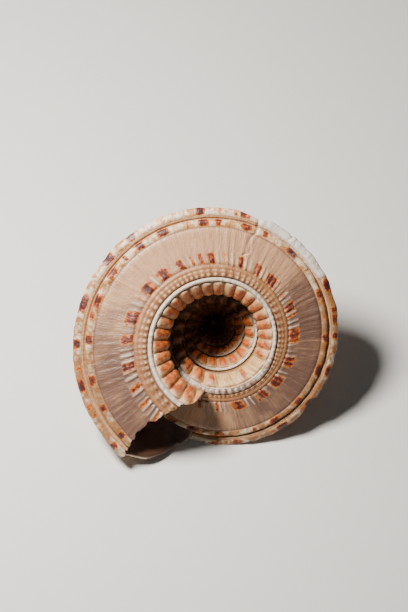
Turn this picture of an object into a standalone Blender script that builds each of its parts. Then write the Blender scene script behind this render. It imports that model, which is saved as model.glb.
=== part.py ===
"""A sundial shell lying on its flank, with the wide umbilicus and the broken lip in view.

The shell is one solid. Its surface is one section carried round a growing spiral:
every point of a whorl is a point of the whorl before it, turned by a full turn and
scaled by GROWTH from the virtual apex. Heights run from the apex towards the base,
the side with the umbilicus, and growth is anticlockwise as seen from that side.
"""

from math import cos, exp, log, pi, radians, sin, tan

import bmesh
import bpy
import numpy as np
from mathutils import Matrix, Vector

NAME = "shell"
COLLECTION = "Sundial shell"

# Driving dimensions of the spiral
KEEL_RADIUS = 0.0284            # from the axis to the keel at the lip's tip
GROWTH = 1.41                   # how much a whorl is wider than the one before it
HALF_ANGLE = radians(50.0)      # between the axis and the cone that the keels lie on
TIP_ANGLE = radians(230.5)      # where the lip's tip stands round the axis
LIP_ANGLE = radians(256.0)      # where the last whorl ends at its suture and umbilical edge
WHORLS = 8
COLUMNS = 72                    # sections per whorl
APEX_HEIGHT = 0.0012            # the rounded tip of the spire, above the virtual apex

# Sections counted back from the lip
FULL_DETAIL = 2 * COLUMNS       # older whorls keep fewer rows
FINE_STEPS = 3 * COLUMNS        # older whorls keep every second section
FUNNEL_DEPTH = 4 * COLUMNS      # the umbilicus closes here
CAVITY_LENGTH = 58              # the hollow reaches back this far from the lip
CAVITY_TAPER = 5                # and narrows over this many sections
LIP_REACH = 16                  # sections over which the lip's uneven edge is formed

# Crenae, the teeth round the umbilicus, as rise and fall of their rows
CRENA_RISE = 0.011
CRENA_NORMAL = (-0.68, 0.73)
CRENA_COLUMNS = 2               # one tooth on the last whorl
OLD_CRENA_COLUMNS = 4           # one tooth on older whorls

# The section in keel radii: distance from the axis, height above the keel, and how far
# the lip is broken back there in degrees. Rows run from the suture over the flank, the
# keel and the base into the umbilicus.
FLANK = [
    (0.740, -0.221, 4.0),       # crest of the cord under the suture
    (0.761, -0.188, 7.0),       # groove
    (0.909, -0.069, 16.0),      # end of the smooth flank
    (0.948, -0.045, 21.0),      # crest of the upper keel cord
    (0.963, -0.015, 24.0),      # groove against the keel
    (1.000, 0.000, 25.5),       # keel
    (0.968, 0.026, 25.5),       # keel's shoulder, where the next whorl is joined on
]
BASE = [
    (0.935, 0.036, 26.0),       # inner edge of the keel
    (0.919, 0.012, 26.0),       # deep groove
    (0.900, 0.046, 26.5),       # cord inside the keel
    (0.860, 0.056, 27.0),
    (0.770, 0.070, 28.0),       # smooth zone
    (0.690, 0.087, 26.5),       # blotched zone
    (0.583, 0.104, 23.5),
    (0.562, 0.110, 22.5),       # beaded band
    (0.500, 0.119, 19.5),
    (0.4876, 0.097, 19.0),       # groove, where the next whorl's wall is joined on
]
UMBILICUS = [
    (0.469, 0.130, 18.5),        # white cord round the umbilicus
    (0.450, 0.100, 16.5),        # line between cord and crenae
    (0.438, 0.104, 12.0),        # crenae
    (0.388, 0.066, 6.0),
    (0.337, 0.010, 3.0),
]
CAVITY = [
    (0.900, -0.020, 24.0),      # under the keel
    (0.832, -0.092, 14.0),      # along the flank
    (0.730, -0.172, 4.0),
    (0.690, -0.188, 1.0),       # over the older whorl
    (0.545, -0.160, 0.0),
    (0.385, -0.128, 0.0),
    (0.372, 0.000, 4.0),        # along the umbilical wall
    (0.455, 0.070, 16.5),
    (0.580, 0.070, 23.0),       # under the base
    (0.700, 0.052, 26.5),
    (0.830, 0.018, 26.5),
]
SHOULDER = len(FLANK) - 1
GROOVE = len(FLANK) + len(BASE) - 1
ROWS = FLANK + BASE + UMBILICUS
WALL_FOOT = len(ROWS)           # the last row lies on the older whorl
SUTURE = -1                     # and so does the first
CRENA_ROWS = range(len(ROWS) - 3, len(ROWS))
OLD_ROWS = {1: 0, 4: 3, GROOVE + 2: GROOVE + 3}   # rows of old whorls moved into their neighbour

# The resting place: the flank at this angle is turned down and worn flat
DOWN_ANGLE = radians(266.0)
FLAT_DEPTH = 0.00042
SNAP = 3e-5                     # corners this near the cut are moved onto it

SHELL_COLOUR = (0.60, 0.42, 0.30, 1.0)

RATE = log(GROWTH) / (2 * pi)
KEEL_HEIGHT = 1 / tan(HALF_ANGLE)
LAST = WHORLS * COLUMNS


def spiral_point(radius, height, angle):
    """A section point carried to an angle and scaled by the growth that it has there."""
    scale = KEEL_RADIUS * exp(RATE * (angle - TIP_ANGLE))
    reach = scale * radius
    return Vector((reach * cos(angle), reach * sin(angle), scale * (KEEL_HEIGHT + height)))


def section_angle(column, setback):
    """The angle of a column, drawn back near the lip by the setback in degrees."""
    angle = LIP_ANGLE + (column - LAST) * 2 * pi / COLUMNS
    nearness = min(max((column - LAST + LIP_REACH) / LIP_REACH, 0.0), 1.0)
    return angle - radians(setback) * nearness ** 2


def crena_offset(column, row):
    """How far a crena row stands out of its mean, as a share of a full rise."""
    if row not in CRENA_ROWS:
        return 0.0
    span = CRENA_COLUMNS if column > LAST - COLUMNS else OLD_CRENA_COLUMNS
    return cos(2 * pi * column / span) * CRENA_RISE


class ShellMesh:
    """The vertices of the spiral grid, made once each and shared where whorls meet."""

    def __init__(self):
        self.mesh = bmesh.new()
        self.made = {}
        self.apex = self.mesh.verts.new((0.0, 0.0, APEX_HEIGHT))
        closing = spiral_point(0.0, 0.0, section_angle(LAST - FUNNEL_DEPTH - COLUMNS, 0.0))
        self.funnel_end = self.mesh.verts.new(closing)

    def vertex(self, column, row):
        """The vertex of a grid place, after the joins to the older whorl and the savings."""
        if row == SUTURE:
            return self.vertex(column - COLUMNS, SHOULDER)
        if row == WALL_FOOT:
            return self.vertex(column - COLUMNS, GROOVE)
        if row <= SHOULDER and column < 0:
            return self.apex
        if row >= GROOVE and column < LAST - FUNNEL_DEPTH:
            return self.funnel_end
        if column < LAST - FINE_STEPS:
            column -= column % 2
        if column < LAST - FULL_DETAIL:
            row = OLD_ROWS.get(row, row)
        if (column, row) not in self.made:
            radius, height, setback = ROWS[row]
            rise = crena_offset(column, row)
            radius += rise * CRENA_NORMAL[0]
            height += rise * CRENA_NORMAL[1]
            place = spiral_point(radius, height, section_angle(column, setback))
            self.made[column, row] = self.mesh.verts.new(place)
        return self.made[column, row]

    def face(self, corners):
        """A face on the corners that differ, or none where fewer than three are left."""
        distinct = list(dict.fromkeys(corners))
        if len(distinct) > 2:
            self.mesh.faces.new(distinct)

    def strip(self, first_row, last_row, first_column):
        """The quads between two rows of the grid, from a column to the lip."""
        for column in range(first_column, LAST):
            for row in range(first_row, last_row):
                self.face([
                    self.vertex(column, row),
                    self.vertex(column, row + 1),
                    self.vertex(column + 1, row + 1),
                    self.vertex(column + 1, row),
                ])


def cavity_loop(shell, column):
    """One ring of the hollow, drawn in towards its own centre where the hollow ends."""
    place = (column - LAST + CAVITY_LENGTH) / CAVITY_TAPER
    width = min(1.0, 0.35 + 0.65 * place)
    centre = np.mean([point[:2] for point in CAVITY], axis=0)
    ring = []
    for radius, height, setback in CAVITY:
        radius = centre[0] + (radius - centre[0]) * width
        height = centre[1] + (height - centre[1]) * width
        place = spiral_point(radius, height, section_angle(column, setback))
        ring.append(shell.mesh.verts.new(place))
    return ring


def add_cavity(shell):
    """The hollow of the last whorl, closed at its far end, and the ring at its mouth."""
    rings = [cavity_loop(shell, column) for column in range(LAST - CAVITY_LENGTH, LAST + 1)]
    count = len(CAVITY)
    for ring, following in zip(rings, rings[1:]):
        for i in range(count):
            j = (i + 1) % count
            shell.mesh.faces.new([ring[i], following[i], following[j], ring[j]])
    shell.mesh.faces.new(rings[0])
    return rings[-1]


def lip_loop(shell):
    """The outer edge of the mouth: the lip from the keel on, closed over the older whorl."""
    keel = SHOULDER - 1
    flank = [shell.vertex(LAST, row) for row in range(keel, SUTURE - 1, -1)]
    parietal = [shell.vertex(LAST - COLUMNS, row) for row in range(SHOULDER + 1, GROOVE + 1)]
    base = [shell.vertex(LAST, row) for row in range(WALL_FOOT - 1, keel, -1)]
    return flank + parietal + base


def join_loops(shell, outer, inner):
    """Triangles between two closed loops, always taking the shorter of the two next edges."""
    i = j = 0
    while i < len(outer) or j < len(inner):
        here, there = outer[i % len(outer)], inner[j % len(inner)]
        ahead, beyond = outer[(i + 1) % len(outer)], inner[(j + 1) % len(inner)]
        step_outer = (ahead.co - there.co).length
        step_inner = (beyond.co - here.co).length
        if j == len(inner) or (i < len(outer) and step_outer <= step_inner):
            shell.mesh.faces.new([here, ahead, there])
            i += 1
        else:
            shell.mesh.faces.new([here, beyond, there])
            j += 1


def resting_turn():
    """The rotation that turns the flank at DOWN_ANGLE down and the base towards -Y."""
    lean = pi / 2 - HALF_ANGLE
    return Matrix.Rotation(lean, 4, "X") @ Matrix.Rotation(-pi / 2 - DOWN_ANGLE, 4, "Z")


def wear_flat(mesh):
    """Cuts the lowest part away at z = 0 and closes the cuts with flat faces."""
    everything = mesh.verts[:] + mesh.edges[:] + mesh.faces[:]
    bmesh.ops.bisect_plane(
        mesh, geom=everything, dist=SNAP, plane_co=(0, 0, 0), plane_no=(0, 0, 1),
        use_snap_center=True, clear_inner=True)
    rims = [edge for edge in mesh.edges if edge.is_boundary]
    bmesh.ops.edgeloop_fill(mesh, edges=rims)


def lay_down(mesh):
    """Turns the shell onto its flank, wears the flat and centres it over the origin."""
    bmesh.ops.transform(mesh, matrix=resting_turn(), verts=mesh.verts)
    lowest = min(vert.co.z for vert in mesh.verts)
    bmesh.ops.translate(mesh, vec=(0, 0, -lowest - FLAT_DEPTH), verts=mesh.verts)
    wear_flat(mesh)
    corners = np.array([vert.co for vert in mesh.verts])
    middle = (corners.min(axis=0) + corners.max(axis=0)) / 2
    bmesh.ops.translate(mesh, vec=(-middle[0], -middle[1], 0), verts=mesh.verts)


def shell_material():
    """The satin, tan lime of the shell."""
    material = bpy.data.materials.new("shell lime")
    material.use_nodes = True
    shader = material.node_tree.nodes["Principled BSDF"]
    shader.inputs["Base Color"].default_value = SHELL_COLOUR
    shader.inputs["Roughness"].default_value = 0.4
    shader.inputs["Metallic"].default_value = 0.0
    return material


def build_shell():
    """The whole shell as one closed mesh."""
    shell = ShellMesh()
    shell.strip(SUTURE, SHOULDER, -1)
    shell.strip(SHOULDER, GROOVE, LAST - COLUMNS)
    shell.strip(GROOVE, WALL_FOOT, LAST - FUNNEL_DEPTH - 1)
    mouth = add_cavity(shell)
    join_loops(shell, lip_loop(shell), mouth)
    bmesh.ops.triangulate(shell.mesh, faces=shell.mesh.faces[:])
    lay_down(shell.mesh)
    bmesh.ops.triangulate(shell.mesh, faces=shell.mesh.faces[:])
    bmesh.ops.recalc_face_normals(shell.mesh, faces=shell.mesh.faces[:])
    data = bpy.data.meshes.new(NAME)
    shell.mesh.to_mesh(data)
    shell.mesh.free()
    data.materials.append(shell_material())
    return bpy.data.objects.new(NAME, data)


def main():
    for thing in list(bpy.data.objects):
        bpy.data.objects.remove(thing, do_unlink=True)
    collection = bpy.data.collections.new(COLLECTION)
    bpy.context.scene.collection.children.link(collection)
    collection.objects.link(build_shell())


main()
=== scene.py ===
"""A sundial shell lying on a pale floor, its umbilicus and broken lip turned to the camera.

The surface is one section carried round a growing spiral. A place on it has two numbers:
its band, which runs from the suture (0) over the flank, keel and base into the umbilicus
(12) and on inside the older whorl (13), and its angle round the axis, seen from the base.
Lengths in the section are shares of the keel's radius at that angle.
"""

from math import exp, log, pi, radians, tan
from types import SimpleNamespace

import bpy
import numpy as np
from mathutils import Matrix, Vector


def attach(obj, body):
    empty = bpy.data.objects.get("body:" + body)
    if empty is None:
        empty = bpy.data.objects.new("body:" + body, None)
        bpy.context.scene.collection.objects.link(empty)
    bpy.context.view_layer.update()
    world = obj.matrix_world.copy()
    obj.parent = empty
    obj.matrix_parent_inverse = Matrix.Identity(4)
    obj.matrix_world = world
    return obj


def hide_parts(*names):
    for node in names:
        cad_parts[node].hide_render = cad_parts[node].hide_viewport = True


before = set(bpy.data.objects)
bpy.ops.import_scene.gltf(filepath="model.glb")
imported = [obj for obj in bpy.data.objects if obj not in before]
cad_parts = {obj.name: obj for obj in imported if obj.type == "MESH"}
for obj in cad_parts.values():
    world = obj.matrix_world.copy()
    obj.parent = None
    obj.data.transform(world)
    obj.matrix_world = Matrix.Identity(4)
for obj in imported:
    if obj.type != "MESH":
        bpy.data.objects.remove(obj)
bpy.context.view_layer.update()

# Driving dimensions of the spiral
KEEL_RADIUS = 0.0284            # from the axis to the keel at the lip's tip
GROWTH = 1.41                   # how much a whorl is wider than the one before it
HALF_ANGLE = radians(50.0)      # between the axis and the cone that the keels lie on
TIP_ANGLE = radians(230.5)      # where the lip's tip stands round the axis
LIP_ANGLE = radians(256.0)      # where the last whorl ends at its suture
DOWN_ANGLE = radians(266.0)     # the flank at this angle lies on the floor
APEX_PLACE = (0.002131, 0.013711, -0.000375)    # the spiral's point in the part's frame
RATE = log(GROWTH) / (2 * pi)
KEEL_HEIGHT = 1 / tan(HALF_ANGLE)

# The broken lip
LIP_REACH = radians(80.0)       # over this angle the section is drawn back to the break
LIP_RAGGED = 0.55               # unevenness of the edge, in degrees
LIP_BULGE = 0.35                # how far it stands past the last ring, in ring steps

# How far each piece goes round, in turns before the lip, and its number of rings
BODY_TURNS = 1.155
BODY_COLUMNS = 640
CAVITY_TURNS = 0.80
CAVITY_COLUMNS = 96
EARLY_TURNS = 11.0
EARLY_COLUMNS = 1650
EARLY_CROWDING = 0.65           # of its rings, towards the large end

# The hollow behind the lip
CAVITY_END = radians(24.0)      # length of its round end
CAVITY_LEAST = 0.03             # width of its last ring
GLAZE_THINNING = 0.022          # how much the glaze over the older whorl thins at the lip

# The smooth first whorl, in shares of the spiral's size at NUCLEUS_TURN from its start
NUCLEUS_TURN = 0.9
NUCLEUS_RADIUS = 0.74
NUCLEUS_HEIGHT = 0.62
NUCLEUS_SQUEEZE = 0.7
NUCLEUS_RINGS = 48
NUCLEUS_BAND = 1.5              # it has the flank's colours
POLE_GAP = 0.02                 # polar angle of its first ring, in radians

# The section: band, radius, height above the keel, and how far the lip is broken back
SECTION = np.array([
    (0.00, 0.672, -0.212, 0.0),     # inside the older whorl
    (0.20, 0.6895, -0.2245, 1.0),   # suture
    (0.42, 0.713, -0.2275, 3.0),
    (0.62, 0.737, -0.219, 4.0),     # crest of the cord under the suture
    (0.85, 0.754, -0.203, 5.0),
    (1.00, 0.762, -0.188, 7.0),     # groove
    (1.15, 0.777, -0.181, 7.5),
    (1.50, 0.834, -0.134, 11.0),
    (1.88, 0.896, -0.082, 15.0),
    (2.00, 0.909, -0.069, 16.0),    # end of the smooth flank
    (2.25, 0.929, -0.063, 18.0),
    (2.50, 0.947, -0.047, 21.0),    # crest of the upper keel cord
    (2.80, 0.958, -0.029, 23.0),
    (3.00, 0.963, -0.015, 24.0),    # groove against the keel
    (3.20, 0.978, -0.0135, 25.0),
    (3.42, 0.993, -0.0085, 25.5),
    (3.60, 1.000, 0.001, 25.5),     # keel
    (3.80, 0.992, 0.0155, 25.5),
    (4.00, 0.974, 0.026, 25.5),
    (4.25, 0.956, 0.033, 25.8),
    (4.40, 0.944, 0.031, 26.0),     # inner edge of the keel
    (4.50, 0.940, 0.026, 26.0),     # fine groove
    (4.62, 0.936, 0.031, 26.0),
    (4.80, 0.928, 0.027, 26.0),     # thread between keel and cord
    (5.00, 0.916, 0.013, 26.0),     # deep groove
    (5.15, 0.911, 0.027, 26.2),
    (5.35, 0.905, 0.045, 26.5),
    (5.55, 0.896, 0.0515, 26.7),    # crest of the cord inside the keel
    (5.80, 0.876, 0.055, 27.0),
    (6.00, 0.857, 0.0535, 27.2),    # fine groove
    (6.15, 0.836, 0.0605, 27.5),
    (6.50, 0.770, 0.0725, 28.0),    # smooth zone
    (7.00, 0.690, 0.087, 27.0),     # blotched zone
    (7.50, 0.636, 0.0975, 24.7),
    (7.88, 0.594, 0.1045, 23.7),
    (8.00, 0.583, 0.101, 23.5),     # groove
    (8.12, 0.573, 0.1085, 23.0),
    (8.40, 0.547, 0.114, 21.6),     # beaded band
    (8.80, 0.508, 0.1195, 19.6),
    (8.92, 0.496, 0.117, 19.2),
    (9.00, 0.4876, 0.097, 19.0),    # deep groove
    (9.10, 0.484, 0.114, 18.8),
    (9.28, 0.478, 0.1275, 18.7),
    (9.50, 0.469, 0.130, 18.5),     # white cord round the umbilicus
    (9.75, 0.459, 0.1255, 17.8),
    (9.93, 0.4525, 0.110, 16.8),
    (10.0, 0.450, 0.100, 16.5),     # line between cord and crenae
    (10.12, 0.444, 0.1065, 14.5),
    (10.30, 0.431, 0.1035, 11.5),   # crenae
    (10.60, 0.399, 0.0825, 7.5),
    (10.85, 0.368, 0.054, 5.0),
    (11.00, 0.349, 0.031, 3.8),
    (11.12, 0.339, 0.010, 3.0),     # their blunt ends
    (11.25, 0.3415, -0.010, 2.5),
    (11.45, 0.350, -0.036, 1.6),    # wall drawn back under them
    (11.70, 0.353, -0.092, 0.8),
    (12.00, 0.352, -0.178, 0.0),    # foot of the wall on the older whorl
    (12.25, 0.372, -0.205, 0.0),    # from here on inside the older whorl
    (12.55, 0.500, -0.232, 0.0),
    (12.80, 0.610, -0.235, 0.0),
    (13.00, 0.672, -0.212, 0.0),
])
BAND_COUNT = 13.0

# The wall of the hollow, facing the section's bands from inside
HOLLOW = np.array([
    (0.00, 0.690, -0.199, 1.0),     # corner of older whorl and flank
    (0.50, 0.722, -0.189, 3.0),
    (1.00, 0.752, -0.163, 7.0),
    (1.50, 0.826, -0.104, 11.0),
    (2.00, 0.884, -0.052, 16.0),
    (2.60, 0.926, -0.024, 21.0),
    (3.20, 0.951, -0.007, 25.0),
    (3.60, 0.956, 0.000, 25.5),     # inside the keel
    (4.20, 0.944, 0.005, 25.8),
    (5.00, 0.908, -0.004, 26.0),
    (5.60, 0.884, 0.022, 26.7),
    (6.10, 0.840, 0.037, 27.4),
    (7.00, 0.690, 0.063, 27.0),     # under the base
    (8.00, 0.583, 0.079, 23.5),
    (8.90, 0.497, 0.084, 19.1),
    (9.60, 0.470, 0.084, 18.2),
    (10.20, 0.437, 0.067, 13.0),
    (10.60, 0.412, 0.045, 7.5),     # along the umbilical wall
    (11.20, 0.374, -0.005, 3.0),
    (11.60, 0.362, -0.070, 1.0),
    (12.00, 0.368, -0.140, 0.0),
    (12.10, 0.395, -0.153, 0.0),    # over the older whorl
    (12.35, 0.489, -0.171, 0.0),
    (12.60, 0.575, -0.187, 0.0),
    (12.85, 0.650, -0.201, 0.0),
    (13.00, 0.690, -0.199, 1.0),
])

# How many rows of faces each band has
BODY_ROWS = (12, 12, 8, 10, 8, 9, 12, 11, 16, 10, 12, 4, 3)
EARLY_ROWS = (6, 5, 4, 6, 2, 1, 1, 1, 1, 6, 12, 4, 3)
BEADED_BAND = 8                 # its rows are evenly spaced
ROW_CROWDING = 0.65             # the others crowd towards their ends by this share

# The fields of a vertex, which the colours follow
FIELDS = (
    "band", "turn",             # its place
    "stain", "amber",           # brown blotches and orange crenae
    "worn", "bald",             # chalky rim, and crenae worn away
    "crest", "hollow",          # high and low places of the ornament
    "rosy", "tan_cord",         # purplish cast, partly painted shade, and the stained part of the white cord
    "grime",                    # painted shade in the umbilicus
)

# Brown blotches along the keel, the cord inside it and the middle of the base. Each has
# its angle and half width in degrees, and its strength: faint ones are orange.
KEEL_SPOTS = [
    (-91, 2.4, 0.5), (-85, 1.2, 0.45), (-79, 2.8, 0.6), (-60, 1.2, 0.42), (-54, 3.7, 1.0),
    (-40, 1.2, 0.45), (-36, 3.4, 1.0), (-27, 0.9, 0.42), (-17, 2.8, 0.95), (-7, 0.9, 0.4),
    (1, 1.7, 0.8), (9, 4.2, 0.64), (14, 1.4, 0.9), (26, 2.9, 1.0), (65, 1.0, 0.46),
    (78, 2.4, 0.9), (82, 1.1, 0.46), (89, 0.9, 0.42), (98, 1.9, 1.0), (105, 0.8, 0.38),
    (115, 1.3, 0.4), (130, 2.0, 0.95), (143, 2.6, 1.0), (152, 0.9, 0.42), (164, 3.3, 1.0),
    (181, 1.9, 1.0), (191, 1.0, 0.4), (198, 2.4, 0.95), (207, 1.3, 0.42), (211, 1.0, 0.55),
    (216, 1.4, 0.4), (225, 1.3, 0.85),
]
CORD_SPOTS = [
    (-90, 1.6, 0.55), (-87, 1.5, 0.6), (-68, 1.3, 0.65), (-55, 3.2, 0.95), (-38, 2.7, 0.95),
    (-18, 3.4, 0.95), (-8, 0.9, 0.38), (0, 2.4, 0.85), (11, 1.1, 0.42), (20, 1.0, 0.45),
    (24, 2.4, 0.9), (38, 0.9, 0.46), (50, 3.0, 1.0), (59, 0.8, 0.36), (66, 1.4, 0.8),
    (76, 2.8, 0.88), (90, 1.6, 0.85), (97, 2.3, 0.9), (105, 0.8, 0.5), (117, 2.8, 0.95),
    (129, 2.0, 0.92), (138, 1.0, 0.6), (147, 2.8, 0.95), (161, 3.2, 0.95), (168, 1.8, 0.5),
    (179, 2.0, 0.92), (197, 2.2, 0.92), (210, 1.5, 0.88), (224, 1.3, 1.0),
]
BASE_SPOTS = [
    (-90, 1.6, 0.42), (-73, 4.8, 0.92), (-56, 1.2, 0.45), (-51, 3.4, 0.95), (-36, 4.8, 1.0),
    (-18, 4.0, 1.0), (3, 5.4, 0.9), (19, 1.6, 0.5), (24, 3.4, 1.0), (35, 1.1, 0.42),
    (48, 4.3, 0.95), (61, 2.5, 0.88), (74, 2.0, 0.85), (85, 1.4, 0.4), (95, 2.2, 0.88),
    (102, 1.4, 0.68), (108, 1.4, 0.45), (116, 2.1, 0.88), (129, 3.5, 1.0), (143, 4.3, 1.0),
    (150, 1.0, 0.42), (164, 4.2, 1.0), (178, 2.9, 0.85), (195, 2.6, 0.95), (208, 1.9, 0.8),
    (219, 1.4, 0.68), (230, 1.2, 0.5),
]

# Blotches of the older whorls: degrees between them, half widths and strengths
OLD_SPOT_STEPS = (11.0, 22.0)
OLD_SPOT_MEAN_STEP = 16.0
OLD_SPOT_WIDTHS = (2.0, 3.8)
OLD_SPOT_STRENGTHS = (0.6, 1.0)

# Chips in the rim: where each starts, is deepest and ends, in degrees, and its depth
RIM_CHIPS = [
    (64.0, 71.5, 81.0, 0.032), (-41.0, -34.0, -31.5, 0.042), (53.4, 54.4, 55.6, 0.014),
    (-76.0, -72.0, -70.0, 0.010), (105.0, 109.0, 112.0, 0.009), (43.0, 46.0, 47.0, 0.006),
    (84.0, 88.0, 94.0, 0.006), (-4.0, -2.0, 0.0, 0.007), (205.0, 212.0, 214.0, 0.006),
]

# Lines across the base: their bands, and their degrees at these bands
CRACK_PATH = ((3.3, 5.9, 6.24, 6.5, 6.8, 7.0, 7.4), (71.6, 70.8, 73.0, 72.2, 70.3, 74.0, 75.2))
SCAR_PATH = ((6.0, 8.0), (39.3, 38.3))
SPLIT_PLACE = 54.6              # a short split in the rim, in degrees

# Places round the axis, in degrees: from and to, or middle, width and strength
LAST_WHORL_START = (-30.0, -10.0)
WORN_RIM = (31.0, 72.0)
STAINED_CORD = (-112.0, -18.0)
MOVED_GROOVE = (-175.0, -25.0)
KNOTTED_CORD = (-72.0, 42.0)
WORN_CRENAE = (-62.0, 34.0)
CRENA_STUMPS = ((-69.0, 3.0, 1.0), (-53.0, 4.2, 1.0))
# Two sides away from the light, with a purplish cast that is partly painted shade
MAUVE_AND_SHADED_SIDES = ((212.0, 62.0, 1.0), (-30.0, 72.0, 1.0))

# Rows of beads and lines: band, width in bands, and strength
BEAD_ROWS = ((8.80, 0.11, 1.25), (8.50, 0.10, 0.8), (8.24, 0.09, 0.25))
FLANK_CORDS = ((0.5, 0.28, 1.0), (2.5, 0.3, 1.0))
BASE_LINES = ((8.67, 0.05, 1.0), (8.37, 0.05, 1.0), (7.5, 0.05, 0.6))
DIRTY_LINES = ((8.66, 0.05, 1.0), (8.36, 0.05, 1.0))

# How far the upper cord's and the suture's blotches are turned, and the base's lean a band
UPPER_SPOT_TURN = radians(1.5)
SUTURE_SPOT_TURN = radians(6.2832)
BASE_SPOT_LEAN = radians(1.7)

# Repeats of the ornament
BEADS_PER_TURN = 72
KNOTS_PER_TURN = 54             # on the white cord of the older whorl
CRENA_STEP = 11.75              # degrees from one crena to the next
OLD_CRENA_STEP = 20.0           # and where the shell was younger
CRENA_SHAPE = 0.65              # the smaller, the blunter
OLD_CRENA_SHAPE = 0.8
CRENA_LEVEL = 0.62              # the swell that leaves the section as it is

# Heights and depths of the ornament, in keel radii
STRIA_HEIGHT = 0.0011
GROWTH_BAND_HEIGHT = 0.0012
FOLD_HEIGHT = 0.0034
BEAD_HEIGHT = 0.0065
SMALL_BEAD_HEIGHT = 0.0025
LINE_DEPTH = 0.0035
FINE_GROOVE_DEPTH = 0.0028
KNOT_HEIGHT = 0.0110
CORD_HEIGHT = 0.0022
RIM_WAVE_HEIGHT = 0.0034
RIM_GRAIN_HEIGHT = 0.0012
WRINKLE_HEIGHT = 0.0030
CRENA_HEIGHT = 0.023
OLD_CRENA_HEIGHT = 0.058
CRACK_DEPTH = 0.010
CRACK_RIDGE_HEIGHT = 0.003
SPLIT_DEPTH = 0.012
SCAR_DEPTH = 0.004
CORD_LINE_DEPTH = 0.007
GROOVE_MOVE = 0.030             # outwards, of the groove beside the older white cord


def smooth_step(value, low, high):
    """0 below low, 1 above high, and 3 s^2 - 2 s^3 between them."""
    share = np.clip((value - low) / (high - low), 0.0, 1.0)
    return share * share * (3 - 2 * share)


def between(value, low, high, soft):
    """1 from low to high, falling to 0 over a soft edge on both sides."""
    return smooth_step(value, low - soft, low + soft) * (1 - smooth_step(value, high - soft, high + soft))


def hump(value, middle, width):
    """The bell exp(-((value - middle) / width)^2)."""
    return np.exp(-((value - middle) / width) ** 2)


def humps(value, listed):
    """A sum of bells, each given by its middle, width and strength."""
    return sum(strength * hump(value, middle, width) for middle, width, strength in listed)


def wander(turns, lowest, highest, seed):
    """An uneven wave: the sum of ten sines whose rates per turn and phases are drawn at random."""
    random = np.random.default_rng(seed)
    wave = np.zeros_like(turns)
    for rate, phase in zip(random.uniform(lowest, highest, 10), random.uniform(0, 2 * pi, 10)):
        wave += np.sin(2 * pi * rate * turns + phase)
    return wave / 3.0


def smooth_through(anchors, places):
    """Radius, height and setback at places along a section: the cubic through neighbouring
    anchors whose slope at each anchor is the mean of the slopes on its two sides."""
    knots, values = anchors[:, 0], anchors[:, 1:]
    slopes = np.gradient(values, knots, axis=0)
    at = np.clip(np.searchsorted(knots, places, side="right") - 1, 0, len(knots) - 2)
    width = (knots[at + 1] - knots[at])[:, None]
    s = (places - knots[at])[:, None] / width
    return ((1 + 2 * s) * (1 - s) ** 2 * values[at] + s * (1 - s) ** 2 * width * slopes[at]
            + s ** 2 * (3 - 2 * s) * values[at + 1] - s ** 2 * (1 - s) * width * slopes[at + 1])


def band_rows(counts):
    """Band numbers of the rows: each band's rows crowd towards its two ends as a cosine does,
    but the beaded band's rows are even."""
    rows = []
    for band, count in enumerate(counts):
        step = np.arange(count) / count
        crowding = 0.0 if band == BEADED_BAND else ROW_CROWDING
        rows.append(band + (1 - crowding) * step + crowding * (1 - np.cos(pi * step)) / 2)
    return np.concatenate(rows)


def growth_scale(angle):
    """Size of the section at an angle: keel radius * e^(rate * (angle - the tip's))."""
    return KEEL_RADIUS * np.exp(RATE * (angle - TIP_ANGLE))


def spiral(radius, height, angle):
    """Section points scaled by the growth at their angle and turned round the axis:
    x and y = scale * radius on the circle, z = scale * (height of the keel cone + height)."""
    scale = growth_scale(angle)
    reach = scale * radius
    return np.stack([reach * np.cos(angle), reach * np.sin(angle), scale * (KEEL_HEIGHT + height)], axis=-1)


def drawn_back(column_angle, setback, band):
    """The angle of a grid place: the column's angle less the setback, which grows with the
    square of the nearness to the lip, and a ragged edge that only the last columns have."""
    nearness = np.clip(1 + (column_angle - LIP_ANGLE) / LIP_REACH, 0.0, 1.0)
    ragged = LIP_RAGGED * wander(band, 0.4, 3.2, seed=5) * between(band, 4.0, 9.9, 0.3)
    return column_angle - np.radians(setback * nearness ** 2 + ragged * nearness ** 14)


def crena_phase(angle):
    """The count of crenae at a place: degrees / step, less a slow sine on the last whorl.
    The change-over at -20 degrees lies near the middle of a crena in both counts."""
    degrees = np.degrees(angle)
    late = (degrees - 234.8) / CRENA_STEP - 0.18 * np.sin(pi * (234.8 - degrees) / 224.0)
    return np.where(degrees > -20.0, late, (degrees + 407.0) / OLD_CRENA_STEP)


def bead_phase(turn):
    """The count of beads at a place, with a slow sine."""
    return BEADS_PER_TURN * turn + 0.5 * np.sin(2 * pi * 5.3 * turn)


def rim_reach(degrees):
    """How far out the rim still stands, in keel radii: 1 less a tent shape for each chip."""
    reach = np.ones_like(degrees)
    for start, deepest, end, depth in RIM_CHIPS:
        reach -= depth * np.interp(degrees, (start, deepest, end), (0.0, 1.0, 0.0))
    return reach


def spot_field(angle, spots, seed):
    """How strongly a place lies in a blotch: strength * (1.5 - distance / half width) for
    the nearest blotch. Whorls older than the listed blotches get blotches of their own."""
    random = np.random.default_rng(seed)
    oldest = -360.0 * EARLY_TURNS
    first = spots[0][0]
    steps = random.uniform(*OLD_SPOT_STEPS, int((first - oldest) / OLD_SPOT_MEAN_STEP))
    middles = first - np.cumsum(steps)[::-1]
    widths = random.uniform(*OLD_SPOT_WIDTHS, len(steps))
    strengths = random.uniform(*OLD_SPOT_STRENGTHS, len(steps))
    early = np.stack([middles, widths, strengths], axis=1)
    listed = np.concatenate([early, np.array(spots, float)])
    borders = (listed[1:, 0] + listed[:-1, 0]) / 2
    middle, width, strength = listed[np.searchsorted(borders, np.degrees(angle))].transpose(2, 0, 1)
    return strength * np.clip(1.5 - np.abs(np.degrees(angle) - middle) / width, 0.0, 1.0)


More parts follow.
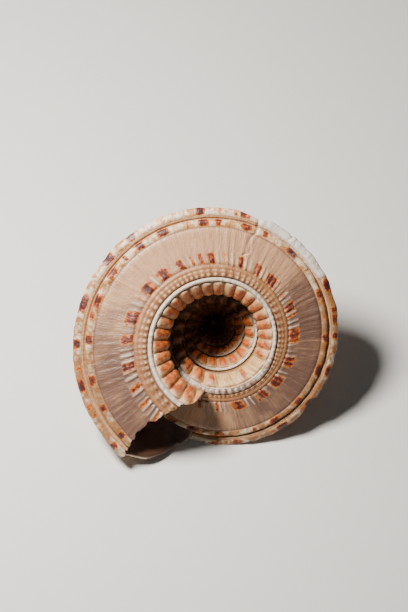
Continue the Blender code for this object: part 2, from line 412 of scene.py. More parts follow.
class Ornament:
    """The ornament on a grid of places: humps across the bands times waves along the angle.
    From them come the height of the relief and the fields that the colours follow."""

    def __init__(self, band, angle):
        turn = (angle - LIP_ANGLE) / (2 * pi)
        degrees = np.degrees(angle)
        self.band, self.angle, self.turn, self.degrees = band, angle, turn, degrees
        self.last = smooth_step(degrees, *LAST_WHORL_START)

        self.folds = np.clip(wander(turn + 0.004 * (band - 7), 66, 112, seed=12), -1.0, 1.3)
        self.fold_zone = between(band, 7.10, 8.02, 0.08) * (0.6 + 0.4 * smooth_step(band, 7.0, 7.9))
        self.beads = 0.5 + 0.5 * np.cos(2 * pi * bead_phase(turn))
        self.bead_rows = humps(band, BEAD_ROWS)
        self.knots = 0.5 + 0.5 * np.cos(2 * pi * (KNOTS_PER_TURN * turn + 0.1 * np.sin(9 * turn)))
        self.knotted_cord = hump(band, 9.4, 0.4) * hump(degrees, *KNOTTED_CORD)

        worn_side = np.clip(1.3 * hump(degrees, *WORN_CRENAE), 0.0, 1.0)
        self.worn_wall = worn_side * between(band, 9.95, 11.3, 0.12)
        self.phase = crena_phase(angle)
        self.swell = np.abs(np.sin(pi * self.phase))
        self.crena = self.new_or_old(self.swell ** CRENA_SHAPE, self.swell ** OLD_CRENA_SHAPE)
        self.crena_zone = smooth_step(band, 10.0, 10.16) * (1 - smooth_step(band, 11.08, 11.4))

        off_crack = degrees - np.interp(band, *CRACK_PATH) - 0.15 * np.sin(17.0 * band)
        crack_zone = between(band, 3.3, 7.1, 0.1)
        self.crack = hump(off_crack, 0.0, 0.62) * crack_zone
        self.crack_ridge = hump(off_crack, -1.5, 0.9) * crack_zone
        off_split = degrees - SPLIT_PLACE - 0.8 * np.sin(6.0 * band)
        self.split = hump(off_split, 0.0, 0.55) * between(band, 3.5, 4.3, 0.1)
        off_scar = degrees - np.interp(band, *SCAR_PATH)
        self.scar = hump(off_scar, 0.0, 0.6) * between(band, 6.0, 8.0, 0.08)
        self.stained_cord = between(degrees, *STAINED_CORD, 8.0)
        self.cord_line = hump(band, 9.66, 0.05) * self.stained_cord

    def new_or_old(self, new, old):
        """One value on the last whorl and another where the shell was younger."""
        return self.last * new + (1 - self.last) * old

    def relief(self):
        """How far the surface stands out, in keel radii."""
        return self.base_relief() + self.cord_relief() + self.crena_relief() - self.damage_depth()

    def base_relief(self):
        """Growth lines and bands, the folds and beads of the base, and lines between them."""
        band, turn = self.band, self.turn
        smooth_zones = between(band, 1.1, 1.9, 0.1) + between(band, 6.1, 7.1, 0.15)
        return (
            STRIA_HEIGHT * wander(turn + 0.002 * band, 70, 135, seed=11) * smooth_zones
            + GROWTH_BAND_HEIGHT * wander(turn, 9, 26, seed=13) * between(band, 1.0, 9.0, 0.3)
            + FOLD_HEIGHT * self.folds * self.fold_zone
            + BEAD_HEIGHT * (self.beads - 0.4) * self.bead_rows
            - LINE_DEPTH * humps(band, BASE_LINES)
            - FINE_GROOVE_DEPTH * hump(band, 6.0, 0.05)
        )

    def cord_relief(self):
        """The uneven rim and cords, with beads on those of the flank and knots on the white
        one, which is rougher where the shell was younger."""
        band, turn = self.band, self.turn
        rim = between(band, 3.1, 4.4, 0.2)
        roughness = self.new_or_old(1.0, 2.2) * hump(band, 9.5, 0.35)
        return (
            KNOT_HEIGHT * (self.knots - 0.5) * self.knotted_cord
            + CORD_HEIGHT * (wander(turn + 0.003 * band, 24, 90, seed=18) - 0.4) * roughness
            + SMALL_BEAD_HEIGHT * (self.beads - 0.5) * humps(band, FLANK_CORDS)
            + CORD_HEIGHT * wander(turn, 24, 50, seed=14) * between(band, 5.2, 5.9, 0.1)
            + RIM_WAVE_HEIGHT * (wander(turn, 8, 30, seed=15) - 0.5) * rim
            + RIM_GRAIN_HEIGHT * wander(turn, 60, 120, seed=16) * rim
        )

    def crena_relief(self):
        """The crenae, domed where the shell was younger, and the wrinkles where they are worn."""
        domed = self.new_or_old(1.0, 1.3 - 3.0 * (self.band - 10.62) ** 2)
        height = self.new_or_old(CRENA_HEIGHT, OLD_CRENA_HEIGHT) * (1 - 0.8 * self.worn_wall)
        wrinkles = wander(self.turn + 0.011 * self.band, 40, 95, seed=19) * self.worn_wall
        return height * domed * (self.crena - CRENA_LEVEL) * self.crena_zone + WRINKLE_HEIGHT * wrinkles

    def damage_depth(self):
        """How deep the crack, the split, the growth scar and the line in the cord are cut."""
        return (
            CRACK_DEPTH * self.crack
            - CRACK_RIDGE_HEIGHT * self.crack_ridge
            + SPLIT_DEPTH * self.split
            + SCAR_DEPTH * self.scar
            + CORD_LINE_DEPTH * self.cord_line
        )

    def stain(self):
        """Brown blotches: on the keel and the cord above it, on the cord inside it, under the
        suture, and on the base, where they lean and the folds break them up."""
        band, angle = self.band, self.angle
        leaning = angle + BASE_SPOT_LEAN * (band - 7.5)
        broken_up = np.clip(1.0 - 0.22 * self.folds - 0.25 * hump(band, 7.5, 0.07), 0.4, 1.1)
        return (
            spot_field(angle, KEEL_SPOTS, seed=21) * between(band, 2.95, 4.34, 0.12)
            + spot_field(angle - UPPER_SPOT_TURN, KEEL_SPOTS, seed=21) * between(band, 2.15, 2.9, 0.12)
            + spot_field(angle, CORD_SPOTS, seed=22) * between(band, 5.14, 5.90, 0.16)
            + spot_field(angle + SUTURE_SPOT_TURN, CORD_SPOTS, seed=23) * between(band, 0.2, 0.95, 0.1)
            + spot_field(leaning, BASE_SPOTS, seed=24) * between(band, 7.18, 7.95, 0.12) * broken_up
        )

    def amber(self):
        """Orange of the crenae: strongest in their middle, uneven from one to the next, and
        gone where they are worn away but for two stumps."""
        per_crena = np.random.default_rng(31).uniform(0.62, 1.0, 400)
        strength = per_crena[np.floor(self.phase).astype(int) % 400]
        strength = strength * (1 - 0.85 * between(self.degrees, 76.0, 86.0, 2.0))
        strength = strength * (1 - 0.3 * between(self.degrees, 225.5, 262.0, 1.5))
        across = (0.35 + 0.75 * hump(self.band, 10.7, 0.42)) * between(self.band, 10.06, 11.2, 0.06)
        new = across * (0.75 + 0.25 * np.cos(2 * pi * (self.phase - 0.35)))
        old = 1.9 * smooth_step(self.swell, 0.3, 1.0) * hump(self.band, 10.74, 0.36)
        worn_away = self.worn_wall * (1 - 0.9 * humps(self.degrees, CRENA_STUMPS))
        return strength * self.new_or_old(new, old) * (1 - worn_away)

    def worn_rim(self):
        """How chalky the keel is, and less so the thread and the cord beside it."""
        across = (
            between(self.band, 3.0, 4.45, 0.2)
            + 0.6 * between(self.band, 4.45, 5.0, 0.1)
            + 0.35 * between(self.band, 5.0, 6.0, 0.1)
        )
        return between(self.degrees, *WORN_RIM, 4.0) * across

    def crest(self):
        """High places of the base: folds, beads and the ridge along the crack."""
        return self.fold_zone * self.folds + (2 * self.beads - 1) * self.bead_rows + 0.4 * self.crack_ridge

    def hollow(self):
        """Low places, which the colours darken: between crenae, beads and knots, and in lines."""
        gaps = np.clip((CRENA_LEVEL - self.crena) / 0.5, 0.0, 1.0) * self.crena_zone * (1 - self.worn_wall)
        return np.clip(
            gaps * (0.2 + 0.35 * self.last)
            + 0.6 * (1 - self.beads) * self.bead_rows
            + 0.7 * (1 - self.knots) * self.knotted_cord
            + 0.35 * humps(self.band, DIRTY_LINES)
            + 0.6 * self.crack + self.split + 0.5 * self.scar + 0.8 * self.cord_line,
            0.0, 1.0,
        )

    def rosy(self):
        """The purplish cast: on the two sides away from the light, where it is partly painted shade, on the
        older whorls, and up to the growth scar.
        """
        return (
            humps(self.degrees, MAUVE_AND_SHADED_SIDES)
            + 0.5 * smooth_step(-self.degrees, 120.0, 160.0)
            + 0.4 * between(self.degrees, 0.0, 38.8, 0.8)
        )

    def grime(self):
        """Painted shade on the side of the umbilicus away from the light: on the wall under the crenae
        and on all of the older whorls."""
        shaded_side = smooth_step(np.cos(self.angle - radians(128.0)), -0.45, 0.30)
        sheltered = np.maximum(smooth_step(self.band, 11.12, 11.3), smooth_step(-self.degrees, 118.0, 150.0))
        return shaded_side * sheltered

    def fields(self):
        """All that FIELDS names, for each place."""
        tan_cord = self.stained_cord * between(self.band, 9.05, 9.95, 0.1)
        return {
            "band": self.band, "turn": self.turn,
            "stain": self.stain(), "amber": self.amber(),
            "worn": self.worn_rim(), "bald": self.worn_wall,
            "crest": self.crest(), "hollow": self.hollow(),
            "rosy": self.rosy(), "tan_cord": tan_cord, "grime": self.grime(),
        }


def raised(points, height):
    """Points moved along the surface's normal by a height. The normal is the cross product
    of the steps to the neighbouring columns and rows."""
    along = np.gradient(points, axis=0)
    across = np.roll(points, -1, axis=1) - np.roll(points, 1, axis=1)
    normal = np.cross(along, across)
    normal /= np.linalg.norm(normal, axis=-1, keepdims=True) + 1e-12
    return points + normal * height[..., None]


def whorl_surface(column_angles, rows):
    """The outer surface on a grid of columns and rows, with its ornament and its fields. The
    rim's radius is the lesser of the section's and the chipped rim's reach, and the groove
    beside the white cord moves outwards where the shell was younger."""
    radius, height, setback = smooth_through(SECTION, rows).T
    angle = drawn_back(column_angles[:, None], setback[None, :], rows[None, :])
    band = np.broadcast_to(rows[None, :], angle.shape)
    degrees = np.degrees(angle)
    at_rim = between(band, 2.4, 4.7, 0.05)
    chipped = np.minimum(radius, rim_reach(degrees))
    moved_groove = GROOVE_MOVE * between(degrees, *MOVED_GROOVE, 20.0) * hump(band, 9.0, 0.28)
    radius = at_rim * chipped + (1 - at_rim) * radius + moved_groove
    ornament = Ornament(band, angle)
    points = raised(spiral(radius, height, angle), ornament.relief() * growth_scale(angle))
    return points, ornament.fields()


def hollow_surface(column_angles, rows):
    """The wall of the hollow. It narrows to a round end, as a quarter circle does, and over
    the older whorl its glaze thins out towards the lip."""
    radius, height, setback = smooth_through(HOLLOW, rows).T
    angle = drawn_back(column_angles[:, None], setback[None, :], rows[None, :])
    nearness = smooth_step(column_angles, LIP_ANGLE - radians(75.0), LIP_ANGLE - radians(10.0))[:, None]
    over_older = between(rows, 12.05, 12.95, 0.12)[None, :]
    height = height[None, :] - GLAZE_THINNING * nearness * over_older
    depth = np.clip((column_angles - column_angles[0]) / CAVITY_END, 0.0, 1.0)[:, None]
    width = CAVITY_LEAST + (1 - CAVITY_LEAST) * np.sqrt(1 - (1 - depth) ** 2)
    middle_radius, middle_height = radius.mean(), height.mean(axis=1, keepdims=True)
    radius = middle_radius + (radius[None, :] - middle_radius) * width
    height = middle_height + (height - middle_height) * width
    return spiral(radius, height, angle)


def placed(points):
    """Shell points in the part's frame: turned onto the flank, moved, and worn flat at z = 0."""
    turn = Matrix.Rotation(pi / 2 - HALF_ANGLE, 3, "X") @ Matrix.Rotation(-pi / 2 - DOWN_ANGLE, 3, "Z")
    world = points @ np.array(turn).T + np.array(APEX_PLACE)
    world[..., 2] = np.maximum(world[..., 2], 0.0)
    return world


def ring_quads(columns, rows):
    """Quads between neighbouring rings, each ring closed on itself, facing outwards."""
    column, row = np.meshgrid(np.arange(columns - 1), np.arange(rows), indexing="ij")
    beside = (row + 1) % rows
    here, ahead = column * rows, (column + 1) * rows
    return np.stack([here + row, ahead + row, ahead + beside, here + beside], axis=-1).reshape(-1, 4)


def cap_triangles(first, rows, middle, outward):
    """A fan of triangles over one ring, facing the given way."""
    row = np.arange(rows)
    beside = (row + 1) % rows
    edges = (first + row, first + beside) if outward else (first + beside, first + row)
    return np.stack([np.full(rows, middle), *edges], axis=-1)


def make_piece(name, grid, fields, finishes, inner_from=None):
    """A closed tube from a grid of rings with a fan at either end, its fields as attributes,
    and the second finish on the columns from inner_from on."""
    columns, rows = grid.shape[:2]
    ends = np.stack([grid[0].mean(axis=0), grid[-1].mean(axis=0)])
    points = np.concatenate([grid.reshape(-1, 3), ends])
    count = columns * rows
    quads = ring_quads(columns, rows)
    caps = np.concatenate([
        cap_triangles(0, rows, count, True),
        cap_triangles(count - rows, rows, count + 1, False),
    ])
    mesh = bpy.data.meshes.new(name)
    mesh.vertices.add(len(points))
    mesh.vertices.foreach_set("co", points.astype(np.float32).ravel())
    corners = np.concatenate([quads.ravel(), caps.ravel()])
    starts = np.concatenate([np.arange(len(quads)) * 4, len(quads) * 4 + np.arange(len(caps)) * 3])
    mesh.loops.add(len(corners))
    mesh.loops.foreach_set("vertex_index", corners.astype(np.int32))
    mesh.polygons.add(len(starts))
    mesh.polygons.foreach_set("loop_start", starts.astype(np.int32))
    mesh.polygons.foreach_set("use_smooth", np.ones(len(starts), bool))
    if inner_from is not None:
        inner = np.concatenate([quads[:, 0] // rows >= inner_from, np.repeat([False, True], rows)])
        mesh.polygons.foreach_set("material_index", inner.astype(np.int32))
    for finish in finishes:
        mesh.materials.append(finish)
    mesh.update(calc_edges=True)
    mesh.validate()
    for field, values in fields.items():
        attribute = mesh.attributes.new(field, "FLOAT", "POINT")
        full = np.concatenate([values.ravel(), values[0, :1], values[-1, :1]])
        attribute.data.foreach_set("value", full.astype(np.float32))
    piece = add_object(name, mesh)
    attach(piece, "root")
    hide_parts("shell")


def make_body_whorl(finishes):
    """The last whorl and the end of the one before it: the outer rings up to the lip, then
    one ring round the broken edge, then the rings of the hollow back from the lip."""
    rows = band_rows(BODY_ROWS)
    outer_angles = LIP_ANGLE + 2 * pi * np.linspace(-BODY_TURNS, 0.0, BODY_COLUMNS)
    outer, fields = whorl_surface(outer_angles, rows)
    hollow_angles = LIP_ANGLE + 2 * pi * np.linspace(-CAVITY_TURNS, 0.0, CAVITY_COLUMNS)
    hollow = hollow_surface(hollow_angles, rows)[::-1]
    edge = (outer[-1:] + hollow[:1]) / 2 + LIP_BULGE * (outer[-1:] - outer[-2:-1])
    grid = placed(np.concatenate([outer, edge, hollow]))
    fields = {
        name: np.concatenate([values, np.repeat(values[-1:], len(hollow) + 1, axis=0)])
        for name, values in fields.items()
    }
    make_piece("body_whorl", grid, fields, finishes, inner_from=BODY_COLUMNS)


def make_early_whorls(finish):
    """The older whorls from the rounded first one on. Rings are crowded towards the large
    end: growth^(crowding * turn) rises evenly from ring to ring."""
    power = EARLY_CROWDING * log(GROWTH)
    steps = np.linspace(exp(-power * EARLY_TURNS), exp(-power * BODY_TURNS), EARLY_COLUMNS)
    angles = LIP_ANGLE + 2 * pi * np.log(steps) / power
    grid, fields = whorl_surface(angles, band_rows(EARLY_ROWS))
    make_piece("early_whorls", placed(grid), fields, [finish])


def make_nucleus(finish):
    """The smooth first whorl as a low dome that closes the spire: a sphere squeezed along the
    axis, with x and y = radius * sin of the polar angle and z = squeeze * radius * its cosine."""
    scale = exp(-log(GROWTH) * (EARLY_TURNS - NUCLEUS_TURN)) * KEEL_RADIUS
    radius = NUCLEUS_RADIUS * scale
    polar = np.linspace(POLE_GAP, pi - POLE_GAP, NUCLEUS_RINGS)[:, None]
    round_axis = np.linspace(0.0, 2 * pi, NUCLEUS_RINGS, endpoint=False)[None, :]
    grid = np.array([0.0, 0.0, NUCLEUS_HEIGHT * scale]) + radius * np.stack([
        np.sin(polar) * np.cos(round_axis),
        np.sin(polar) * np.sin(round_axis),
        NUCLEUS_SQUEEZE * np.cos(polar) * np.ones_like(round_axis),
    ], axis=-1)
    flat = np.zeros((NUCLEUS_RINGS, NUCLEUS_RINGS))
    fields = {name: flat for name in FIELDS}
    fields["band"] = flat + NUCLEUS_BAND
    make_piece("nucleus", placed(grid), fields, [finish])


class Number:
    """A varying number in a finish. Sums and products of it add the Math nodes."""

    def __init__(self, finish, socket):
        self.finish = finish
        self.socket = socket

    def __add__(self, other):
        return self.finish.math("ADD", self, other)

    def __sub__(self, other):
        return self.finish.math("SUBTRACT", self, other)

    def __mul__(self, other):
        return self.finish.math("MULTIPLY", self, other)

    def __truediv__(self, other):
        return self.finish.math("DIVIDE", self, other)

    def __rsub__(self, other):
        return self.finish.math("SUBTRACT", other, self)

    __radd__ = __add__
    __rmul__ = __mul__


class Finish:
    """A material in the making: its nodes, and the short ways to add them."""

    def __init__(self, name, **constants):
        self.material = bpy.data.materials.new(name)
        self.material.use_nodes = True
        self.tree = self.material.node_tree
        self.shader = self.tree.nodes["Principled BSDF"]
        for socket, value in constants.items():
            self.shader.inputs[socket.replace("_", " ")].default_value = value

    def node(self, kind, settings, inputs):
        """A node of a kind, with its settings made first and then its sockets set or linked."""
        node = self.tree.nodes.new(kind)
        for setting, value in settings.items():
            if setting == "stops":
                self.fill_ramp(node.color_ramp, value)
            else:
                setattr(node, setting, value)
        for socket, value in inputs.items():
            if hasattr(value, "socket"):
                self.tree.links.new(value.socket, node.inputs[socket])
            else:
                node.inputs[socket].default_value = value
        return node

    def fill_ramp(self, ramp, stops):
        """Puts colour stops, each a place and a colour, on a ramp that starts with two."""
        for place, _ in stops[2:]:
            ramp.elements.new(place)
        for element, (place, colour) in zip(ramp.elements, stops):
            element.position = place
            element.color = colour

    def math(self, operation, first, second):
        node = self.node("ShaderNodeMath", {"operation": operation}, {0: first, 1: second})
        return Number(self, node.outputs[0])

    def field(self, name):
        """A field of the mesh, as a number."""
        node = self.node("ShaderNodeAttribute", {"attribute_name": name}, {})
        return Number(self, node.outputs["Fac"])

    def vector(self, x, y, z):
        return Number(self, self.node("ShaderNodeCombineXYZ", {}, {0: x, 1: y, 2: z}).outputs[0])

    def object_place(self):
        return Number(self, self.node("ShaderNodeTexCoord", {}, {}).outputs["Object"])

    def noise(self, place, scale, detail=3.0, roughness=0.55):
        """Smooth noise about 0.5."""
        inputs = {"Vector": place, "Scale": scale, "Detail": detail, "Roughness": roughness}
        return Number(self, self.node("ShaderNodeTexNoise", {}, inputs).outputs["Fac"])

    def step(self, value, low, high):
        """0 below low, 1 above high, smooth between."""
        settings = {"interpolation_type": "SMOOTHSTEP"}
        inputs = {"Value": value, "From Min": low, "From Max": high}
        return Number(self, self.node("ShaderNodeMapRange", settings, inputs).outputs["Result"])

    def within(self, value, rise, fall):
        """0 outside and 1 inside two edges, each given by where it starts and ends."""
        return self.step(value, *rise) * (1.0 - self.step(value, *fall))

    def ramp(self, value, stops):
        return Number(self, self.node("ShaderNodeValToRGB", {"stops": stops}, {0: value}).outputs[0])

    def mix(self, factor, first, second):
        node = self.node("ShaderNodeMix", {"data_type": "RGBA"}, {0: factor, 6: first, 7: second})
        return Number(self, node.outputs[2])

    def feed(self, socket, value):
        self.tree.links.new(value.socket, self.shader.inputs[socket])

    def bump(self, height, distance):
        """Fine relief from a varying height."""
        node = self.node("ShaderNodeBump", {}, {"Height": height, "Distance": distance, "Strength": 1.0})
        self.tree.links.new(node.outputs[0], self.shader.inputs["Normal"])


def paint(red, green, blue):
    """A colour given as on a screen, 0 to 255, made linear."""
    share = np.array([red, green, blue]) / 255.0
    linear = np.where(share <= 0.04045, share / 12.92, ((share + 0.055) / 1.055) ** 2.4)
    return (*[float(part) for part in linear], 1.0)


# Ground colours and what lies over them
CREAM = paint(222, 198, 164)
IVORY = paint(226, 212, 196)
TAN_BEIGE = paint(190, 143, 106)
PALE_BEIGE = paint(178, 134, 100)
THREAD_TAN = paint(196, 150, 106)
BEAD_TAN = paint(164, 108, 62)
CRENA_TAN = paint(208, 156, 104)
LINE_BROWN = paint(116, 62, 36)
GROOVE_BROWN = paint(76, 38, 22)
CLOUD_TAN = paint(200, 150, 100)
# Dark purplish beige of the smooth zones, partly painted shade
ROSE_BEIGE_AND_SHADE = paint(92, 66, 58)
GROWTH_BROWN = paint(104, 66, 50)
GROWTH_CREAM = paint(218, 186, 168)
GOLD = paint(198, 126, 34)
# Brown on the rim's purplish side, partly painted shade
DULL_BROWN_AND_SHADE = paint(142, 92, 52)
FOLD_CREAM = paint(222, 198, 174)
BEAD_CREAM = paint(228, 194, 150)
# Brown of the beads on the purplish side, partly painted shade
BEAD_BROWN_AND_SHADE = paint(128, 86, 58)

# Blotches and crenae
AMBER_GOLD = paint(206, 136, 46)
ORANGE = paint(182, 92, 30)
RUST = paint(138, 58, 26)
PLUM = paint(72, 29, 24)
AMBER = paint(156, 72, 32)
EMBER_ORANGE = paint(198, 106, 48)
OLD_ORANGE = paint(202, 98, 30)
OLD_CREAM = paint(216, 180, 118)
OLD_TAN = paint(190, 142, 84)
STAINED_TAN = paint(170, 120, 86)

# Wear, painted shade on the wall and in the umbilicus, painted shade inside the mouth, and the floor
CHALK = paint(224, 216, 206)
# Brown of the wall under the crenae, partly painted shade
WALL_BROWN_AND_SHADE = paint(54, 32, 23)
# Painted shade deep in the umbilicus and on its side away from the light
UMBILICUS_SHADE_BROWN = paint(46, 29, 20)
# Painted shade inside the mouth: two dark browns for its clouds
MOUTH_SHADE_DARK = paint(74, 48, 37)
MOUTH_SHADE_BROWN = paint(116, 80, 62)
FLOOR_GREY = paint(222, 219, 213)
FLOOR_WHITE = paint(226, 223, 218)

# Depth of the finest relief, in metres
LIME_BUMP = 0.00018
GLAZE_BUMP = 0.0002


def band_colours():
    """Ground colour along the bands, as ramp stops at band / band count."""
    flank = [
        (0.20, GROOVE_BROWN), (0.30, CREAM), (0.85, CREAM), (1.00, LINE_BROWN), (1.12, TAN_BEIGE),
        (1.90, TAN_BEIGE), (2.02, LINE_BROWN), (2.16, CREAM), (2.85, CREAM),
    ]
    keel_and_cord = [
        (3.00, THREAD_TAN), (3.15, IVORY), (4.38, CREAM), (4.50, LINE_BROWN), (4.60, THREAD_TAN),
        (4.90, THREAD_TAN), (5.00, LINE_BROWN), (5.14, CREAM), (5.92, CREAM), (6.00, LINE_BROWN),
    ]
    base = [
        (6.08, TAN_BEIGE), (7.02, TAN_BEIGE), (7.20, PALE_BEIGE), (7.92, PALE_BEIGE),
        (8.00, LINE_BROWN), (8.10, BEAD_TAN), (8.91, BEAD_TAN), (8.97, GROOVE_BROWN),
    ]
    umbilicus = [
        (9.14, IVORY), (9.90, IVORY), (10.0, THREAD_TAN), (10.12, CREAM), (10.35, CRENA_TAN),
    ]
    stops = flank + keel_and_cord + base + umbilicus
    return [(band / BAND_COUNT, colour) for band, colour in stops]


def wobble(noise, strength):
    """An offset about 0 from a noise about 0.5."""
    return (noise - 0.5) * strength


def shared_grain(finish, field):
    """The noises that the colours share: three even ones, and five drawn out along the
    growth lines or the spiral."""
    place = finish.object_place()

    def drawn_out(along, across, offset, detail, roughness=0.55):
        """Noise with a grain per turn and per band."""
        stretched = finish.vector(field.turn * along, field.band * across, offset)
        return finish.noise(stretched, 1.0, detail, roughness)

    return SimpleNamespace(
        cloud=finish.noise(place, 300.0, 4.0),
        mottle=finish.noise(place, 950.0, 3.0),
        fray=finish.noise(place, 2600.0, 2.0),
        patches=drawn_out(46.0, 0.8, 11.0, 2.0),
        streaks=drawn_out(210.0, 1.2, 0.0, 3.0),
        fine_streaks=drawn_out(480.0, 3.5, 3.0, 2.0),
        lines=drawn_out(360.0, 0.9, 5.0, 3.0, 0.6),
        spiral_lines=drawn_out(14.0, 26.0, 7.0, 2.0),
    )


def smooth_colours(finish, field, grain, ground):
    """Warm clouds all over, the purplish cast of the smooth zones, partly painted shade on the sides away
    from the light, and growth lines.
    """
    smooth_base = finish.within(field.band, (5.93, 6.0), (8.0, 8.05))
    smooth_flank = finish.within(field.band, (1.0, 1.1), (1.9, 2.0))
    mauve_and_shade = finish.step(field.rosy + wobble(grain.cloud, 0.9) + wobble(grain.patches, 0.7), 0.1, 1.1)
    ground = finish.mix(finish.step(1.0 - grain.cloud, 0.46, 0.64) * 0.30, ground, CLOUD_TAN)
    ground = finish.mix(mauve_and_shade * (smooth_base + smooth_flank) * 0.88, ground, ROSE_BEIGE_AND_SHADE)
    ground = finish.mix(finish.step(1.0 - grain.lines, 0.50, 0.66) * 0.24, ground, GROWTH_BROWN)
    return finish.mix(finish.step(grain.lines, 0.54, 0.68) * 0.14, ground, GROWTH_CREAM)


def rim_colours(finish, field, grain, ground):
    """Gold clouds on the keel and the cord inside it, and less bright brown ones on the purplish side,
    partly painted shade.
    """
    on_thread = finish.within(field.band, (4.38, 4.48), (5.05, 5.15))
    on_rim = finish.within(field.band, (2.95, 3.05), (5.93, 6.0)) * (1.0 - on_thread)
    gilt = finish.step(grain.patches + wobble(grain.mottle, 1.2), 0.45, 0.60)
    dull_and_shade = finish.step(field.rosy + wobble(grain.mottle, 2.0) + wobble(grain.patches, 2.4), 0.2, 1.0)
    ground = finish.mix(gilt * on_rim * 0.8, ground, GOLD)
    return finish.mix(dull_and_shade * on_rim * 0.85, ground, DULL_BROWN_AND_SHADE)


def crest_colours(finish, field, grain, ground):
    """Pale crests on the folds and the beads, and browner beads on the purplish side, partly painted shade.
    """
    ribs = finish.step(field.crest + wobble(grain.patches, 1.2), -0.1, 1.2)
    on_folds = finish.within(field.band, (7.05, 7.2), (8.0, 8.05))
    on_beads = finish.within(field.band, (8.0, 8.05), (8.95, 9.0))
    ground = finish.mix(ribs * on_folds * 0.6, ground, FOLD_CREAM)
    ground = finish.mix(ribs * on_beads * 0.6, ground, BEAD_CREAM)
    return finish.mix(finish.step(field.rosy, 0.3, 1.2) * on_beads * 0.35, ground, BEAD_BROWN_AND_SHADE)


def blotch_colours(finish, field, grain, ground):
    """Blotches with frayed edges, from a gold fringe over orange and rust to plum."""
    edge = (field.stain * 1.4 + wobble(grain.fray, 0.4) + wobble(grain.streaks, 0.4)
            + wobble(grain.mottle, 1.2))
    core = (field.stain + wobble(grain.mottle, 1.5) + wobble(grain.fine_streaks, 0.9)
            + wobble(grain.fray, 0.8))
    stained = finish.ramp(core, [(0.26, AMBER_GOLD), (0.44, ORANGE), (0.66, RUST), (0.96, PLUM)])
    return finish.mix(finish.step(edge, 0.10, 0.74) * finish.step(field.stain, 0.02, 0.2), ground, stained)


def crena_colours(finish, field, grain, ground):
    """Amber crenae, old cream where they are worn away, a deeper orange on those of the older
    whorls, and the stained part of the white cord."""
    ember = field.amber * 1.3 + wobble(grain.cloud, 0.6) + wobble(grain.mottle, 1.4)
    glow = finish.mix(finish.step(grain.mottle + wobble(grain.fray, 0.5), 0.4, 0.6), EMBER_ORANGE, AMBER)
    ground = finish.mix(finish.step(ember, 0.15, 1.0) * finish.step(field.amber, 0.02, 0.15), ground, glow)
    aged = finish.mix(finish.step(grain.mottle, 0.42, 0.62), OLD_CREAM, OLD_TAN)
    ground = finish.mix(field.bald * (1.0 - finish.step(field.amber, 0.1, 0.4)) * 0.85, ground, aged)
    older = finish.step(0.0 - field.turn, 1.12, 1.2) * finish.step(field.band, 10.1, 10.25)
    ground = finish.mix(older * finish.step(field.amber, 0.3, 1.0) * 0.6, ground, OLD_ORANGE)
    return finish.mix(field.tan_cord * finish.step(grain.mottle, 0.38, 0.6) * 0.8, ground, STAINED_TAN)


def shade_and_low_places(finish, field, grain, ground):
    """The brown wall under the crenae, partly painted shade, darker low places, and painted shade
    deep in the umbilicus and on its side away from the light."""
    # The wall under the crenae: a brown that is partly painted shade
    ground = finish.mix(finish.step(field.band, 11.16, 11.30) * 0.4, ground, WALL_BROWN_AND_SHADE)
    ground = finish.mix(finish.step(field.hollow, 0.1, 0.8) * 0.85, ground, GROOVE_BROWN)
    # Painted shade: deeper down the umbilicus, and on its side away from the light
    inside = finish.step(field.band, 8.5, 9.0)
    depth = finish.step(0.0 - field.turn, 2.8, 6.0)
    side_shade = finish.step(field.grime + wobble(grain.mottle, 1.0) + wobble(grain.fray, 0.4), 0.25, 0.8)
    ground = finish.mix(depth * inside * 0.6, ground, UMBILICUS_SHADE_BROWN)
    return finish.mix(side_shade * inside * 0.85, ground, UMBILICUS_SHADE_BROWN)


def painted_lime():
    """The outside: cream cords with rust blotches and gold clouds, a pinkish smooth zone with
    fine growth lines, partly painted shade on the sides away from the light, a tan beaded band, a white
    cord, amber crenae, painted shade in the umbilicus and a chalky rim."""
    finish = Finish("painted lime", Specular_IOR_Level=0.5, Coat_Roughness=0.25)
    field = SimpleNamespace(**{name: finish.field(name) for name in FIELDS})
    grain = shared_grain(finish, field)
    ground = finish.ramp((field.band + wobble(grain.mottle, 0.04)) / BAND_COUNT, band_colours())
    for layer in (smooth_colours, rim_colours, crest_colours, blotch_colours, crena_colours, shade_and_low_places):
        ground = layer(finish, field, grain, ground)
    wear = finish.step(field.worn + wobble(grain.fray, 0.6) + wobble(grain.mottle, 0.7), 0.35, 0.75)
    finish.feed("Base Color", finish.mix(wear * 0.8, ground, CHALK))
    finish.feed("Roughness", 0.42 + wobble(grain.mottle, 0.25) + wear * 0.25 + field.hollow * 0.2)
    finish.feed("Coat Weight", (1.0 - wear) * 0.08)
    height = (grain.lines * 0.2 + grain.fine_streaks * 0.6 + grain.fray * 0.25
              + grain.spiral_lines * 0.15)
    finish.bump(height, LIME_BUMP)
    return finish.material


def shaded_mouth_lime():
    """The inside of the mouth: a glossy glaze with faint clouds, its dark brown painted shade."""
    finish = Finish("mouth lime in painted shade", Coat_Weight=0.3, Coat_Roughness=0.15)
    cloud = finish.noise(finish.object_place(), 180.0, 3.0)
    finish.feed("Base Color", finish.ramp(cloud, [(0.3, MOUTH_SHADE_DARK), (0.7, MOUTH_SHADE_BROWN)]))
    finish.feed("Roughness", 0.25 + wobble(cloud, 0.2))
    finish.bump(cloud, GLAZE_BUMP)
    return finish.material


# Camera, light and floor
CAMERA_PLACE = Vector((-0.01931, -0.21160, 0.36806))
CAMERA_RIGHT = Vector((0.996776, 0.032907, 0.073170))
CAMERA_UP = Vector((-0.066499, 0.849097, 0.524034))
CAMERA_LENS = 129.4
KEY_DIRECTION = Vector((-0.468, 0.10, 0.878))
KEY_DISTANCE = 0.21
KEY_SIZE = 0.06
KEY_POWER = 1.16
KEY_COLOUR = (1.0, 0.97, 0.93)
SKY_COLOUR = (0.95, 0.97, 1.0, 1.0)
SKY_STRENGTH = 0.07
FLOOR_REACH = 1.5
FLOOR_CELLS = 8


def add_object(name, data):
    """A mesh, light or camera in the scene."""
    thing = bpy.data.objects.new(name, data)
    bpy.context.scene.collection.objects.link(thing)
    return thing


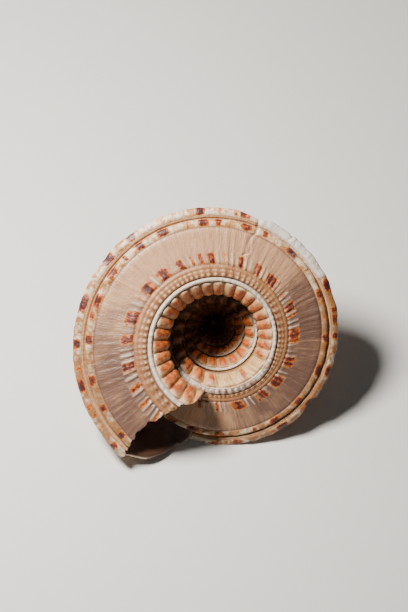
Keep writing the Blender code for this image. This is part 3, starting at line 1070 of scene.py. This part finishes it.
def make_camera():
    """The camera at the photograph's viewing angle: it looks down into the umbilicus."""
    data = bpy.data.cameras.new("camera")
    data.lens = CAMERA_LENS
    data.clip_start = 0.01
    camera = add_object("camera", data)
    back = CAMERA_RIGHT.cross(CAMERA_UP)
    turn = Matrix((CAMERA_RIGHT, CAMERA_UP, back)).transposed().to_4x4()
    turn.translation = CAMERA_PLACE
    camera.matrix_world = turn
    bpy.context.scene.camera = camera


def make_lights():
    """A small soft key light from above on the left, and a faint even sky."""
    data = bpy.data.lights.new("key", "AREA")
    data.shape = "DISK"
    data.size = KEY_SIZE
    data.energy = KEY_POWER
    data.color = KEY_COLOUR
    key = add_object("key", data)
    key.visible_camera = False
    key.location = KEY_DIRECTION.normalized() * KEY_DISTANCE
    key.rotation_mode = "QUATERNION"
    key.rotation_quaternion = KEY_DIRECTION.to_track_quat("Z", "Y")
    world = bpy.data.worlds.new("studio")
    world.use_nodes = True
    sky = world.node_tree.nodes["Background"]
    sky.inputs["Color"].default_value = SKY_COLOUR
    sky.inputs["Strength"].default_value = SKY_STRENGTH
    bpy.context.scene.world = world


def make_floor():
    """A plain pale floor: a grid of x and y at z = 0."""
    places = FLOOR_CELLS + 1
    reach = np.linspace(-FLOOR_REACH, FLOOR_REACH, places)
    x, y = np.meshgrid(reach, reach, indexing="ij")
    points = np.stack([x, y, np.zeros_like(x)], axis=-1).reshape(-1, 3)
    column, row = np.meshgrid(np.arange(FLOOR_CELLS), np.arange(FLOOR_CELLS), indexing="ij")
    first = (column * places + row).ravel()
    faces = np.stack([first, first + places, first + places + 1, first + 1], axis=-1)
    mesh = bpy.data.meshes.new("floor")
    mesh.from_pydata(points.tolist(), [], faces.tolist())
    finish = Finish("pale floor", Roughness=0.7)
    tint = finish.noise(finish.object_place(), 3.0)
    finish.feed("Base Color", finish.ramp(tint, [(0.3, FLOOR_GREY), (0.7, FLOOR_WHITE)]))
    mesh.materials.append(finish.material)
    add_object("floor", mesh)


outside = painted_lime()
inside = shaded_mouth_lime()
make_body_whorl([outside, inside])
make_early_whorls(outside)
make_nucleus(outside)
make_floor()
make_lights()
make_camera()
